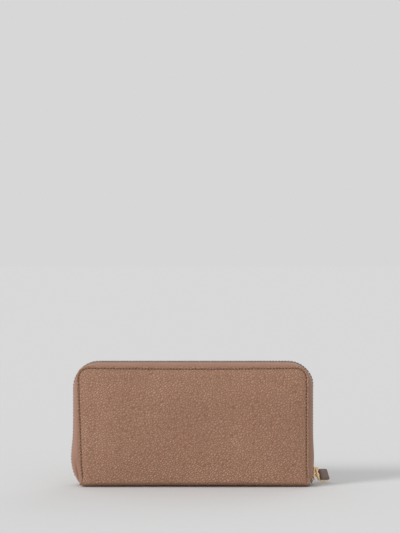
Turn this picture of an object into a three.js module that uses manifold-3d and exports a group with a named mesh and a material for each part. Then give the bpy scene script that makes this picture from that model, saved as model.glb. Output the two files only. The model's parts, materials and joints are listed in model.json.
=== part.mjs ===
// Zip-around wallet with a zipped coin pocket, closed and standing on its spine.
// Millimetres, +Z up, +X to the wallet's right, the front cover facing -Y.
// The origin is the middle of the spine's underside, on the surface that the wallet stands on.
//
// Each cover is a sandwich: leather, board, lining, slip pocket and stepped card strips. A leather
// band carries half of the zip round the cover's two sides and top. The spine joins the covers at
// two folds and holds the coin pocket between them. Gussets join the coin pocket to the covers.
import * as THREE from "three";
import Module from "manifold-3d";
import { mergeVertices } from "three/addons/utils/BufferGeometryUtils.js";

// ---- Driving dimensions: covers and spine
const COVER_WIDTH = 186; // leather panel, side to side
const COVER_TOP = 94.5; // leather panel's top edge, above the surface
const PANEL_RADIUS = 13; // the leather panel's two top corners
const CORNER_RADIUS = 17; // where the zip and the inner plies turn the same corners
const DEPTH = 25; // outer face to outer face, closed
const LEATHER = 1.2;
const BOARD = 0.8;
const LINING = 0.4;
const PLY_GAP = 0.1; // air between two plies that lie flat together
const SPINE_RADIUS = 3; // outside of the fold between spine and cover
const FOLD_HEIGHT = 5; // the fold that the covers turn on, above the surface
const FOLD_SLOT = 1; // height of the bend zone left open between spine and cover
const BOARD_INSET = 2; // from the leather's edge
const LINING_INSET = 3;
const SPINE_PLY_INSET = 3.5; // spine board and lining, in from the leather's corners

// ---- Driving dimensions: pockets
const CARD_STRIPS = 4; // stepped strips on each cover
const STRIP = 0.4; // thickness of one card strip
const STRIP_STEP = 12; // height between two strips' top edges
const TOP_STRIP_DROP = 18.5; // from the panel's top edge down to the highest strip's top edge
const POCKET_INSET = 4.5; // slip pocket, card strips and coin pocket, in from the leather's edge
const SLIP = 0.4; // thickness of the slip pocket's panel
const SLIP_DROP = 8.5; // from the panel's top edge down to the slip pocket's
const SLIP_GAP = 0.3; // room for notes behind the slip pocket's panel
const COIN_ROOM = 4.2; // inside the coin pocket, wall to wall
const COIN_WALL = 0.5;
const COIN_DROP = 26.5; // from the panel's top edge down to the coin pocket's
const COIN_FOOT_GAP = 0.3; // between the spine's lining and the coin pocket
const GUSSET = 0.5;
const GUSSET_FOLD = 8.6; // how far a gusset's fold reaches in
const GUSSET_GAP = 0.2; // between a gusset's edge and the ply that it is sewn to

// ---- Driving dimensions: the zip round the covers
const BAND = 0.9; // leather band
const BAND_SET_BACK = 1.8; // tape showing between the band's edge and the teeth
const BAND_BULGE = 2.8; // how far the band stands out past the panel's edge
const BAND_TUCK = 0.3; // how far it starts inside the panel's edge
const BAND_ARC_STEPS = 5;
const TAPE = 0.45;
const TAPE_WIDTH = 4.3; // the width left clear of the teeth
const TAPE_RISE = 1.1; // how much further out the tape's toothed edge is than its sewn edge
const TEETH_WIDTH = 2.2; // one row, across the tape
const TEETH_HEIGHT = 2.3; // one row, through the tape
const TEETH_OUT = 3.2; // outer face of the teeth, past the panel's edge
const TEETH_SLOT = 1.2; // left open between the rows, where the slider's post runs
const ZIP_FOOT = 5.7; // lower ends of bands, tapes and rows, above the surface
const STOP = 1.4; // length of a stop along the row
const TAB_INSET = 1.1; // from the pocket's side to the inner edge of the tabs at the zip's ends
const CORNER_STEPS = 6; // facets round each corner

// ---- Driving dimensions: slider, ring and pull
const SLIDER_LENGTH = 10.6;
const SLIDER_PLATE = 1;
const SLIDER_WIDTH = 8.4;
const SLIDER_CLEAR = 0.25; // between slider and teeth, all round
const SLIDER_FOOT = 4.4; // slider's lower end, above the surface
const BRIDGE_WIDTH = 1.8;
const BRIDGE_BAR = 1.1;
const BRIDGE_WINDOW = 2.3; // along the slider
const RING_RADIUS = 4.1; // to the middle of the wire
const RING_WIRE = 0.65; // wire radius
const RING_CLEAR = 0.35; // between wire and what it runs in
const RING_TILT = THREE.MathUtils.degToRad(16); // hangs this far out from straight down
const PULL_ROUND_RING = THREE.MathUtils.degToRad(72); // from the ring's lowest point, towards the back
const PULL_TURN = THREE.MathUtils.degToRad(31); // turned out from the ring's plane
const EYE_WALL = 0.7;
const EYE_WIDTH = 2.2;
const PULL_PLATE = 1;
const PULL_PLATE_WIDTH = 10.4;
const PULL_LENGTH = 15.5; // from the ring to the pull's free end
const PULL_RADIUS = 1.6; // corners of the plate
const PULL_LEATHER = 1.7;
const PULL_RIM = 0.6; // plate showing round the leather
const PULL_GAP = 0.2; // between plate and leather

// ---- Driving dimensions: the coin pocket's zip
const COIN_TAPE = 0.4;
const COIN_TAPE_HEIGHT = 9;
const COIN_TEETH_WIDTH = 1.6; // one row
const COIN_TEETH_HEIGHT = 1.8;
const COIN_SLOT = 1; // between the rows
const COIN_ZIP_END = 6; // the rows stop this far short of the pocket's sides
const COIN_SLIDER_LENGTH = 8;
const COIN_SLIDER_PLATE = 0.9;
const COIN_SLIDER_REST = 0.5; // from the slider's right end to the rows' end, with the coin zip closed
const COIN_PULL_LENGTH = 14;
const COIN_PULL_WIDTH = 4;
const COIN_PIN = 0.5; // radius of the pull's cross bar

// ---- Sizes that follow from the ones above
const HALF_WIDTH = COVER_WIDTH / 2;
const HALF_DEPTH = DEPTH / 2;
const COVER_FOOT = FOLD_HEIGHT + FOLD_SLOT / 2;
const SPINE_RIM = FOLD_HEIGHT - FOLD_SLOT / 2;
const POCKET_HALF = HALF_WIDTH - POCKET_INSET;
const COIN_OUT = COIN_ROOM / 2 + COIN_WALL; // coin pocket's outer face, from the middle plane
const COIN_TOP = COVER_TOP - COIN_DROP;
const SLIP_TOP = COVER_TOP - SLIP_DROP;
const COIN_SLIDER_X = POCKET_HALF - COIN_ZIP_END - COIN_SLIDER_REST - COIN_SLIDER_LENGTH; // its left end
const SPINE_BOARD_Z = LEATHER + PLY_GAP;
const SPINE_LINING_Z = SPINE_BOARD_Z + BOARD + PLY_GAP;
const COIN_FOOT = SPINE_LINING_Z + LINING + COIN_FOOT_GAP;
const COIN_TAPE_INNER = COIN_ROOM / 2 - PLY_GAP - COIN_TAPE; // the tape's inner face
const TEETH_MIDDLE = TEETH_OUT - TEETH_HEIGHT / 2;
const ROW_IN = TEETH_SLOT / 2; // a row's edges, from the middle plane
const ROW_OUT = ROW_IN + TEETH_WIDTH;
const BAND_START_Y = HALF_DEPTH - LEATHER - PLY_GAP; // the band's edge under the panel
const BAND_END_Y = ROW_OUT + BAND_SET_BACK; // the band's edge beside the teeth

const wasm = await Module();
wasm.setup();

// ---- Materials
const finish = (color, roughness, metalness = 0) =>
  new THREE.MeshStandardMaterial({ color, roughness, metalness });
const LOOKS = {
  leather: finish(0x97735f, 0.55),
  band: finish(0xa17d69, 0.5),
  board: finish(0xb9a583, 0.9),
  lining: finish(0xa98a72, 0.85),
  tape: finish(0x7d6353, 0.9),
  teeth: finish(0x776455, 0.45),
  gold: finish(0xd9b077, 0.25, 1),
  pull: finish(0x6f5b50, 0.55),
};

// ---- Shapes and solids

// A ply's outline in X and Z, inset from the panel's edge: square at the foot, round at both top
// corners.
function coverShape(inset, foot, top, radius = CORNER_RADIUS) {
  const half = HALF_WIDTH - inset;
  const r = radius - inset;
  const shape = new THREE.Shape();
  shape.moveTo(-half, foot).lineTo(half, foot).lineTo(half, top - r);
  shape.absarc(half - r, top - r, r, 0, Math.PI / 2);
  shape.absarc(r - half, top - r, r, Math.PI / 2, Math.PI);
  return shape.closePath();
}

function rectangle(left, low, right, high) {
  const corners = [[left, low], [right, low], [right, high], [left, high]];
  return polygon(corners);
}

function polygon(corners) {
  return new THREE.Shape(corners.map(([x, y]) => new THREE.Vector2(x, y)));
}

function roundedRectangle(left, low, right, high, r) {
  const shape = new THREE.Shape();
  shape.absarc(right - r, high - r, r, 0, Math.PI / 2);
  shape.absarc(left + r, high - r, r, Math.PI / 2, Math.PI);
  shape.absarc(left + r, low + r, r, Math.PI, Math.PI * 1.5);
  shape.absarc(right - r, low + r, r, Math.PI * 1.5, Math.PI * 2);
  return shape.closePath();
}

function extruded(shape, depth) {
  return new THREE.ExtrudeGeometry(shape, { depth, bevelEnabled: false, curveSegments: CORNER_STEPS });
}

// A shape in X and Z, given thickness along Y from nearY towards +Y.
const alongY = (shape, thickness, nearY) =>
  extruded(shape, thickness).rotateX(Math.PI / 2).translate(0, nearY + thickness, 0);

// A shape in Y and Z, given length along X from leftX.
const alongX = (shape, length, leftX) =>
  extruded(shape, length).rotateX(Math.PI / 2).rotateZ(Math.PI / 2).translate(leftX, 0, 0);

// A shape in X and Y, given height along Z from footZ.
const alongZ = (shape, height, footZ) => extruded(shape, height).translate(0, 0, footZ);

const box = (low, high) =>
  new THREE.BoxGeometry(high[0] - low[0], high[1] - low[1], high[2] - low[2]).translate(
    (low[0] + high[0]) / 2, (low[1] + high[1]) / 2, (low[2] + high[2]) / 2);

// A flat ply parallel to the covers, whose inner face is `inner` from the middle plane.
// Side -1 is the front, and side 1 is the back.
const ply = (shape, thickness, side, inner) =>
  alongY(shape, thickness, side > 0 ? inner : -inner - thickness);

// The zip's way along the panel's edge, from the left foot over the top to the right foot. It takes
// one step along each straight run and CORNER_STEPS round each corner, so that everything swept
// along it has the same stations.
class EdgeRoute extends THREE.Curve {
  constructor(foot) {
    super();
    this.foot = foot;
    this.steps = 3 + 2 * CORNER_STEPS;
  }
  getUtoTmapping(u) {
    return u;
  }
  getPoint(t, target = new THREE.Vector3()) {
    const s = t * this.steps;
    const n = CORNER_STEPS;
    const cornerX = HALF_WIDTH - CORNER_RADIUS;
    const cornerZ = COVER_TOP - CORNER_RADIUS;
    const along = (from, to, share) => from + (to - from) * share;
    const round = (centreX, turn) =>
      target.set(centreX + CORNER_RADIUS * Math.cos(turn), 0, cornerZ + CORNER_RADIUS * Math.sin(turn));
    if (s <= 1) return target.set(-HALF_WIDTH, 0, along(this.foot, cornerZ, s));
    if (s <= 1 + n) return round(-cornerX, along(Math.PI, Math.PI / 2, (s - 1) / n));
    if (s <= 2 + n) return target.set(along(-cornerX, cornerX, s - 1 - n), 0, COVER_TOP);
    if (s <= 2 + 2 * n) return round(cornerX, along(Math.PI / 2, 0, (s - 2 - n) / n));
    return target.set(HALF_WIDTH, 0, along(cornerZ, this.foot, s - 2 - 2 * n));
  }
}

// A section of points [out past the panel's edge, from the middle plane], swept round the panel's edge.
function sweptRoundEdge(section, side, foot) {
  const route = new EdgeRoute(foot);
  const shape = polygon(section.map(([out, y]) => [-side * y, -out]));
  return new THREE.ExtrudeGeometry(shape, { extrudePath: route, steps: route.steps });
}

function manifoldOf(geometry) {
  const bare = new THREE.BufferGeometry();
  const flat = geometry.index ? geometry.toNonIndexed() : geometry;
  bare.setAttribute("position", flat.getAttribute("position"));
  const merged = mergeVertices(bare, 1e-4);
  return new wasm.Manifold(new wasm.Mesh({
    numProp: 3,
    vertProperties: merged.attributes.position.array,
    triVerts: new Uint32Array(merged.index.array),
  }));
}

function joined(...geometries) {
  const mesh = geometries.map(manifoldOf).reduce((a, b) => a.add(b)).getMesh();
  return new THREE.BufferGeometry()
    .setAttribute("position", new THREE.BufferAttribute(mesh.vertProperties, 3))
    .setIndex(new THREE.BufferAttribute(mesh.triVerts, 1));
}

function piece(parent, name, geometry, look) {
  const mesh = new THREE.Mesh(geometry, LOOKS[look]);
  mesh.name = name;
  parent.add(mesh);
  return mesh;
}

// ---- Spine

function spine(parent) {
  const y = HALF_DEPTH;
  const r = SPINE_RADIUS;
  const inner = r - LEATHER;
  const trough = new THREE.Shape();
  trough.moveTo(-y, SPINE_RIM).lineTo(-y, r).absarc(r - y, r, r, Math.PI, Math.PI * 1.5);
  trough.absarc(y - r, r, r, Math.PI * 1.5, Math.PI * 2).lineTo(y, SPINE_RIM);
  trough.lineTo(y - LEATHER, SPINE_RIM).absarc(y - r, r, inner, 0, -Math.PI / 2, true);
  trough.absarc(r - y, r, inner, -Math.PI / 2, -Math.PI, true).lineTo(LEATHER - y, SPINE_RIM).closePath();
  piece(parent, "spine_leather", alongX(trough, COVER_WIDTH, -HALF_WIDTH), "leather");
  const half = HALF_WIDTH - BOARD_INSET;
  const flat = y - SPINE_PLY_INSET;
  piece(parent, "spine_board",
    box([-half, -flat, SPINE_BOARD_Z], [half, flat, SPINE_BOARD_Z + BOARD]), "board");
  piece(parent, "spine_lining",
    box([-half, -flat, SPINE_LINING_Z], [half, flat, SPINE_LINING_Z + LINING]), "lining");
}

// The fabric tabs that close the zip's lower ends, and the stop that joins the rows on the left.
function zipEnds(parent) {
  const tabLow = SPINE_LINING_Z + LINING + PLY_GAP;
  const tabHigh = tabLow + TAPE;
  const inX = POCKET_HALF + TAB_INSET;
  const outX = HALF_WIDTH + TEETH_OUT;
  for (const [name, side] of [["left", -1], ["right", 1]]) {
    const xs = [side * inX, side * outX].sort((a, b) => a - b);
    piece(parent, `zip_end_tab_${name}`,
      box([xs[0], -BAND_END_Y, tabLow], [xs[1], BAND_END_Y, tabHigh]), "tape");
  }
  const stopX = -HALF_WIDTH - TEETH_OUT;
  const stopLow = tabHigh + PLY_GAP;
  piece(parent, "zip_bottom_stop",
    box([stopX, -ROW_OUT, stopLow], [stopX + TEETH_HEIGHT, ROW_OUT, stopLow + STOP]), "gold");
}

// ---- Covers

// The leather band, a quarter of an ellipse in section from under the panel's edge to beside the teeth.
function bandSection() {
  const across = BAND_START_Y - BAND_END_Y;
  const out = BAND_BULGE + BAND_TUCK;
  const at = (turn, shrink) => [
    (out - shrink) * Math.sin(turn) - BAND_TUCK,
    BAND_START_Y - shrink - (across - shrink) * (1 - Math.cos(turn)),
  ];
  const turns = Array.from({ length: BAND_ARC_STEPS + 1 }, (_, i) => (i / BAND_ARC_STEPS) * Math.PI / 2);
  return [...turns.map((t) => at(t, 0)), ...turns.reverse().map((t) => at(t, BAND))];
}

function tapeSection() {
  const near = ROW_OUT + PLY_GAP;
  const far = near + TAPE_WIDTH;
  const low = TEETH_MIDDLE - TAPE / 2;
  const sewn = low - TAPE_RISE;
  return [[low, near], [low + TAPE, near], [sewn + TAPE, far], [sewn, far]];
}

// One row of teeth as a rail with its four long edges cut off.
function rowSection() {
  const low = TEETH_OUT - TEETH_HEIGHT;
  const cut = TEETH_HEIGHT / 4;
  return [
    [low, ROW_IN + cut], [low, ROW_OUT - cut], [low + cut, ROW_OUT], [TEETH_OUT - cut, ROW_OUT],
    [TEETH_OUT, ROW_OUT - cut], [TEETH_OUT, ROW_IN + cut], [TEETH_OUT - cut, ROW_IN], [low + cut, ROW_IN],
  ];
}

function cover(parent, name, side) {
  let inner = HALF_DEPTH - LEATHER;
  const panel = coverShape(0, COVER_FOOT, COVER_TOP, PANEL_RADIUS);
  piece(parent, `${name}_leather`, ply(panel, LEATHER, side, inner), "leather");
  inner -= PLY_GAP + BOARD;
  const board = coverShape(BOARD_INSET, COVER_FOOT, COVER_TOP - BOARD_INSET);
  piece(parent, `${name}_board`, ply(board, BOARD, side, inner), "board");
  inner -= PLY_GAP + LINING;
  const lining = coverShape(LINING_INSET, COVER_FOOT, COVER_TOP - LINING_INSET);
  piece(parent, `${name}_lining`, ply(lining, LINING, side, inner), "lining");
  inner -= SLIP_GAP + SLIP;
  const slip = coverShape(POCKET_INSET, COVER_FOOT, SLIP_TOP);
  piece(parent, `${name}_slip_panel`, ply(slip, SLIP, side, inner), "lining");
  for (let n = CARD_STRIPS; n >= 1; n--) {
    inner -= PLY_GAP + STRIP;
    const top = COVER_TOP - TOP_STRIP_DROP - (CARD_STRIPS - n) * STRIP_STEP;
    const strip = rectangle(-POCKET_HALF, COVER_FOOT, POCKET_HALF, top);
    piece(parent, `${name}_card_strip_${n}`, ply(strip, STRIP, side, inner), "leather");
  }
  piece(parent, `${name}_edge_band`, sweptRoundEdge(bandSection(), side, ZIP_FOOT), "band");
  piece(parent, `${name}_zip_tape`, sweptRoundEdge(tapeSection(), side, ZIP_FOOT), "tape");
  const rowFoot = ZIP_FOOT + STOP + PLY_GAP;
  piece(parent, `${name}_zip_teeth`, sweptRoundEdge(rowSection(), side, rowFoot), "teeth");
  const stopX = HALF_WIDTH + TEETH_OUT - TEETH_HEIGHT;
  const ys = [side * ROW_IN, side * ROW_OUT].sort((a, b) => a - b);
  piece(parent, `${name}_top_stop`,
    box([stopX, ys[0], ZIP_FOOT], [stopX + TEETH_HEIGHT, ys[1], ZIP_FOOT + STOP]), "gold");
  return inner;
}

// ---- Coin pocket and gussets

function coinPocket(parent) {
  const half = POCKET_HALF;
  const rowLow = COIN_TOP + PLY_GAP;
  const rowHigh = rowLow + COIN_TEETH_HEIGHT;
  for (const [name, side] of [["front", -1], ["back", 1]]) {
    const wall = rectangle(-half, COIN_FOOT, half, COIN_TOP);
    piece(parent, `coin_wall_${name}`, ply(wall, COIN_WALL, side, COIN_ROOM / 2), "lining");
    const tapeHalf = half - COIN_WALL - PLY_GAP;
    const tape = rectangle(-tapeHalf, COIN_TOP - COIN_TAPE_HEIGHT, tapeHalf, COIN_TOP);
    piece(parent, `coin_tape_${name}`, ply(tape, COIN_TAPE, side, COIN_TAPE_INNER), "tape");
    const rowHalf = half - COIN_ZIP_END;
    const row = rectangle(-rowHalf, rowLow, rowHalf, rowHigh);
    piece(parent, `coin_teeth_${name}`, ply(row, COIN_TEETH_WIDTH, side, COIN_SLOT / 2), "gold");
  }
  const floor = COIN_FOOT + COIN_WALL;
  const within = COIN_ROOM / 2 - PLY_GAP;
  const stopEdge = COIN_SLOT / 2 + COIN_TEETH_WIDTH;
  const stopHalf = half - COIN_ZIP_END + PLY_GAP;
  for (const [name, side] of [["left", -1], ["right", 1]]) {
    const wallXs = [side * (half - COIN_WALL), side * half].sort((a, b) => a - b);
    piece(parent, `coin_side_${name}`,
      box([wallXs[0], -within, floor + PLY_GAP], [wallXs[1], within, COIN_TOP]), "lining");
    const stopXs = [side * stopHalf, side * (stopHalf + STOP)].sort((a, b) => a - b);
    piece(parent, `coin_stop_${name}`,
      box([stopXs[0], -stopEdge, rowLow], [stopXs[1], stopEdge, rowHigh]), "gold");
  }
  piece(parent, "coin_bottom", box([-half, -within, COIN_FOOT], [half, within, floor]), "lining");
}

// Four folded side gussets, between the innermost card strip at `strip` and the coin pocket.
function gussets(parent, strip) {
  const far = strip - GUSSET_GAP;
  const near = COIN_OUT + GUSSET_GAP;
  const middle = (near + far) / 2;
  for (const [face, front] of [["front", -1], ["back", 1]])
    for (const [hand, right] of [["left", -1], ["right", 1]]) {
      const foldIn = POCKET_HALF - GUSSET_FOLD;
      const thick = GUSSET * Math.hypot(GUSSET_FOLD, (far - near) / 2) / ((far - near) / 2);
      const fold = [
        [POCKET_HALF, far], [foldIn, middle], [POCKET_HALF, near],
        [POCKET_HALF, near + GUSSET], [foldIn + thick, middle], [POCKET_HALF, far - GUSSET],
      ];
      const shape = polygon(fold.map(([x, y]) => [right * x, front * y]));
      piece(parent, `gusset_${face}_${hand}`, alongZ(shape, COIN_TOP - COVER_FOOT, COVER_FOOT), "lining");
    }
}

// ---- Slider, ring and pull of the zip round the covers

const PLATE_OUT_FACE = TEETH_OUT + SLIDER_CLEAR + SLIDER_PLATE; // past the panel's edge
const WINDOW_DEPTH = 2 * (RING_WIRE + RING_CLEAR);
const RING_X = HALF_WIDTH + PLATE_OUT_FACE + WINDOW_DEPTH / 2;
const BRIDGE_TOP = SLIDER_FOOT + SLIDER_LENGTH;
const RING_Z = BRIDGE_TOP - BRIDGE_BAR - BRIDGE_WINDOW / 2;

function slider(parent) {
  const outer = HALF_WIDTH + PLATE_OUT_FACE;
  const outerIn = outer - SLIDER_PLATE;
  const inner = HALF_WIDTH + TEETH_OUT - TEETH_HEIGHT - SLIDER_CLEAR;
  const innerIn = inner - SLIDER_PLATE;
  const y = SLIDER_WIDTH / 2;
  const post = ROW_IN - SLIDER_CLEAR;
  const section = polygon([
    [outer, -y], [outer, y], [outerIn, y], [outerIn, post], [inner, post], [inner, y],
    [innerIn, y], [innerIn, -y], [inner, -y], [inner, -post], [outerIn, -post], [outerIn, -y],
  ]);
  piece(parent, "slider_body", alongZ(section, SLIDER_LENGTH, SLIDER_FOOT), "gold");
  const foot = outer + PLY_GAP;
  const top = outer + WINDOW_DEPTH;
  const low = BRIDGE_TOP - 2 * BRIDGE_BAR - BRIDGE_WINDOW;
  const staple = polygon([
    [foot, low], [top + BRIDGE_BAR, low + BRIDGE_BAR], [top + BRIDGE_BAR, BRIDGE_TOP - BRIDGE_BAR],
    [foot, BRIDGE_TOP], [foot, BRIDGE_TOP - BRIDGE_BAR], [top, BRIDGE_TOP - BRIDGE_BAR],
    [top, low + BRIDGE_BAR], [foot, low + BRIDGE_BAR],
  ]);
  piece(parent, "slider_bridge", alongY(staple, BRIDGE_WIDTH, -BRIDGE_WIDTH / 2), "gold");
}

// The ring hangs in the bridge's window. Its group has x down the ring's middle and z along its axis.
function ringAndPull(parent) {
  const ring = new THREE.Group();
  ring.position.set(RING_X, 0, RING_Z);
  const down = new THREE.Vector3(Math.sin(RING_TILT), 0, -Math.cos(RING_TILT));
  const back = new THREE.Vector3(0, 1, 0);
  const axis = new THREE.Vector3().crossVectors(down, back);
  ring.quaternion.setFromRotationMatrix(new THREE.Matrix4().makeBasis(down, back, axis));
  parent.add(ring);
  const wire = new THREE.TorusGeometry(RING_RADIUS, RING_WIRE, 8, 24).translate(RING_RADIUS, 0, 0);
  piece(ring, "pull_ring", wire, "gold");

  // The pull's group sits on the wire. Its x runs to the pull's free end, its y along the wire,
  // and its z out of the leather face.
  const pull = new THREE.Group();
  const turn = PULL_ROUND_RING;
  pull.position.set(RING_RADIUS * (1 + Math.cos(turn)), RING_RADIUS * Math.sin(turn), 0);
  pull.rotateZ(turn);
  pull.rotateY(-PULL_TURN);
  ring.add(pull);
  const bore = RING_WIRE + RING_CLEAR;
  const eyeOuter = bore + EYE_WALL;
  const eye = new THREE.Shape().absarc(0, 0, eyeOuter, 0, Math.PI * 2);
  eye.holes.push(new THREE.Path().absarc(0, 0, bore, 0, Math.PI * 2, true));
  const plateX = bore + EYE_WALL / 2;
  const half = PULL_PLATE_WIDTH / 2;
  const plate = roundedRectangle(plateX, -half, PULL_LENGTH, half, PULL_RADIUS);
  const frame = joined(
    alongY(eye, EYE_WIDTH, -EYE_WIDTH / 2),
    alongZ(plate, PULL_PLATE, -PULL_PLATE / 2),
  );
  piece(pull, "pull_plate", frame, "gold");
  const leather = roundedRectangle(
    eyeOuter + PULL_GAP, PULL_RIM - half, PULL_LENGTH - PULL_RIM, half - PULL_RIM, PULL_RADIUS - PULL_RIM);
  piece(pull, "pull_leather", alongZ(leather, PULL_LEATHER, PULL_PLATE / 2 + PULL_GAP), "pull");
}

// ---- Slider and pull of the coin pocket's zip

function coinSlider(parent) {
  const left = COIN_SLIDER_X;
  const right = left + COIN_SLIDER_LENGTH;
  const rowLow = COIN_TOP + PLY_GAP;
  const rowHigh = rowLow + COIN_TEETH_HEIGHT;
  const wide = COIN_SLOT / 2 + COIN_TEETH_WIDTH + SLIDER_CLEAR;
  const narrow = COIN_TAPE_INNER - SLIDER_CLEAR;
  const post = COIN_SLOT / 2 - SLIDER_CLEAR;
  const topLow = rowHigh + SLIDER_CLEAR;
  const topHigh = topLow + COIN_SLIDER_PLATE;
  const footHigh = rowLow - SLIDER_CLEAR;
  const footLow = footHigh - COIN_SLIDER_PLATE;
  const section = polygon([
    [-wide, topHigh], [-wide, topLow], [-post, topLow], [-post, footHigh], [-narrow, footHigh],
    [-narrow, footLow], [narrow, footLow], [narrow, footHigh], [post, footHigh], [post, topLow],
    [wide, topLow], [wide, topHigh],
  ]);
  piece(parent, "coin_slider_body", alongX(section, COIN_SLIDER_LENGTH, left), "gold");

  // A bridge like a staple, and a flat pull whose slot takes the bridge's bar.
  const middle = (left + right) / 2;
  const pinZ = topHigh + COIN_PIN + RING_CLEAR;
  const bar = COIN_PIN + RING_CLEAR;
  const foot = topHigh + PLY_GAP;
  const crown = pinZ + bar;
  const reach = bar + COIN_SLIDER_PLATE;
  const staple = polygon([
    [middle - reach, foot], [middle - bar, foot], [middle - bar, crown], [middle + bar, crown],
    [middle + bar, foot], [middle + reach, foot], [middle + reach, crown],
    [middle + bar, crown + COIN_SLIDER_PLATE], [middle - bar, crown + COIN_SLIDER_PLATE],
    [middle - reach, crown],
  ]);
  const bridgeHalf = COIN_SLIDER_PLATE / 2;
  piece(parent, "coin_slider_bridge", alongY(staple, COIN_SLIDER_PLATE, -bridgeHalf), "gold");

  const half = COIN_PULL_WIDTH / 2;
  const slotHalf = bridgeHalf + RING_CLEAR;
  const strap = roundedRectangle(-COIN_PULL_LENGTH, -half, COIN_PIN, half, COIN_PIN);
  const slotEnd = -COIN_PIN - reach - RING_CLEAR;
  strap.holes.push(rectangle(slotEnd, -slotHalf, -COIN_PIN, slotHalf));
  const pull = piece(parent, "coin_pull", alongZ(strap, 2 * COIN_PIN, -COIN_PIN), "gold");
  pull.position.set(middle, 0, pinZ);
}

// ---- The wallet

const wallet = new THREE.Group();
spine(wallet);
zipEnds(wallet);
const innermost = cover(wallet, "front", -1);
cover(wallet, "back", 1);
coinPocket(wallet);
gussets(wallet, innermost);
slider(wallet);
ringAndPull(wallet);
coinSlider(wallet);

export default wallet;
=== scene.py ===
"""Looks for the zip around wallet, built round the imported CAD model. Metres, +Z up."""
import json
import math
from contextlib import contextmanager

import bmesh
import bpy
import numpy as np
from mathutils import Matrix, Vector


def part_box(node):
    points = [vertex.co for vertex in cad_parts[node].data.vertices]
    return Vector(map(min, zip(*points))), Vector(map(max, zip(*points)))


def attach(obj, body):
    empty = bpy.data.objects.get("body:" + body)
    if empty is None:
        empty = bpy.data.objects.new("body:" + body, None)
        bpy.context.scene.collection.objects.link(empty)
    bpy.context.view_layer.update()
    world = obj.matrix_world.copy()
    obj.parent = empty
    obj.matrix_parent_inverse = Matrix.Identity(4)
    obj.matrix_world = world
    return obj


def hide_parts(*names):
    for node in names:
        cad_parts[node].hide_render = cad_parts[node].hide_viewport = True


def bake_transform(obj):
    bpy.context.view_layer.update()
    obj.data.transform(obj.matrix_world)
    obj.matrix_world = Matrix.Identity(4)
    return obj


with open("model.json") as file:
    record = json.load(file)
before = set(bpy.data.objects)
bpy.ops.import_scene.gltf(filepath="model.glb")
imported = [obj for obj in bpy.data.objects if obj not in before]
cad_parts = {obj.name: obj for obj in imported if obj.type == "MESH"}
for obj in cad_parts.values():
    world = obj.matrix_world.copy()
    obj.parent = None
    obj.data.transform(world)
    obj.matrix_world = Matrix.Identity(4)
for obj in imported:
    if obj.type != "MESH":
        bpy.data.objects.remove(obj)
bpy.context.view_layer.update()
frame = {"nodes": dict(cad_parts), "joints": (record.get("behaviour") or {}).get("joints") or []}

MM = 0.001
SIDES = {"front": -1, "back": 1}
HANDS = {"left": -1, "right": 1}

# ---- Sizes taken from the frame


def box_mm(node):
    low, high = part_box(node)
    return np.array(low) / MM, np.array(high) / MM


def span(node, axis):
    """The least and the greatest distance of a node's two ends from the wallet's middle."""
    low, high = box_mm(node)
    return sorted((abs(low[axis]), abs(high[axis])))


def joint(name):
    return next(j for j in frame["joints"] if j["name"] == name)


PANEL_LOW, PANEL_HIGH = box_mm("back_leather")
HALF_WIDTH = PANEL_HIGH[0]
PANEL_TOP = PANEL_HIGH[2]
HALF_DEPTH = PANEL_HIGH[1]
LEATHER = PANEL_HIGH[1] - PANEL_LOW[1]
SPINE_RIM = box_mm("spine_leather")[1][2]
FOLD_Z = joint("back_cover_open")["pos_m"][2] / MM
BAND_LOW, BAND_HIGH = box_mm("back_edge_band")
BAND_OUT = BAND_HIGH[0] - HALF_WIDTH
TAPE_LOW, TAPE_HIGH = box_mm("back_zip_tape")
TEETH_LOW, TEETH_HIGH = box_mm("back_zip_teeth")
TEETH_OUT = TEETH_HIGH[0] - HALF_WIDTH
STOP_LOW, STOP_HIGH = box_mm("back_top_stop")
TEETH_HEIGHT = STOP_HIGH[0] - STOP_LOW[0]
TEETH_MIDDLE = TEETH_OUT - TEETH_HEIGHT / 2
SLIDER_REACH = box_mm("slider_body")[1][2] + joint("zip_slider_travel")["range_m"][1] / MM
CARD_STRIPS = sum(name.startswith("back_card_strip") for name in frame["nodes"])

# ---- Sizes of the detail that only the looks have, in mm
PANEL_RADIUS = 10.5
ZIP_RADIUS = 17.0
FOOT_REACH = 7.0  # how far in from the cover's face the spine starts to leave the floor
FOOT_GAP = 2.2  # between the floor and the start of the fold
FOOT_SLOPE = math.radians(36)  # the spine's slope there
EDGE_ROLL = 0.75  # radius of the turned edge
STITCH_INSET = 2.1  # from the panel's edge
STITCH_PITCH = 2.5
STITCH_LENGTH = 1.5
STITCH_RADIUS = 0.3
GROOVE_DEPTH = 0.45
GROOVE_WIDTH = 0.75
PUFF = 2.3  # how far the padded panel stands out in its middle
EDGE_LEAN = 3.3  # how far the left edge leans in at its foot
LEAN_REACH = 45.0  # how far from that edge the lean can be seen
TOP_SAG = 0.8  # how far the middle of the top edge has sunk
PANEL_SKEW = 0.9  # how far closing the zip has pulled the covers to the left
PANEL_LIFT = 0.9  # and their top edges up
FOOT_ARCH = 0.45  # how far the middle of the foot stands off the floor
STRETCH = 1.018  # how much taller the covers stand than their CAD solids
BULGE = 2.3  # how far the gusset inside pushes the band out, low on the left
BULGE_Z = 21.0
BULGE_SPREAD = 14.0
BAND_START_Y = BAND_HIGH[1] - 0.15  # the band's edge, tucked behind the panel's
BAND_START_OUT = -0.6
BAND_THICK = 0.8
TAPE_THICK = 0.45
TOOTH_PITCH = 2.45
TEETH_PROUD = 0.7  # how far the zip stands out of its CAD place, away from the slider
RING_EXTRA = 0.3  # the ring's wire, beyond its CAD radius
EYE_CLEAR = 0.12  # between the ring's wire and the pull's eye
RAIL = 0.2  # how far the rails on the sliders' plates stand up
RAIL_WIDTH = 0.6
COIN_TOOTH_PITCH = 1.9
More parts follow.
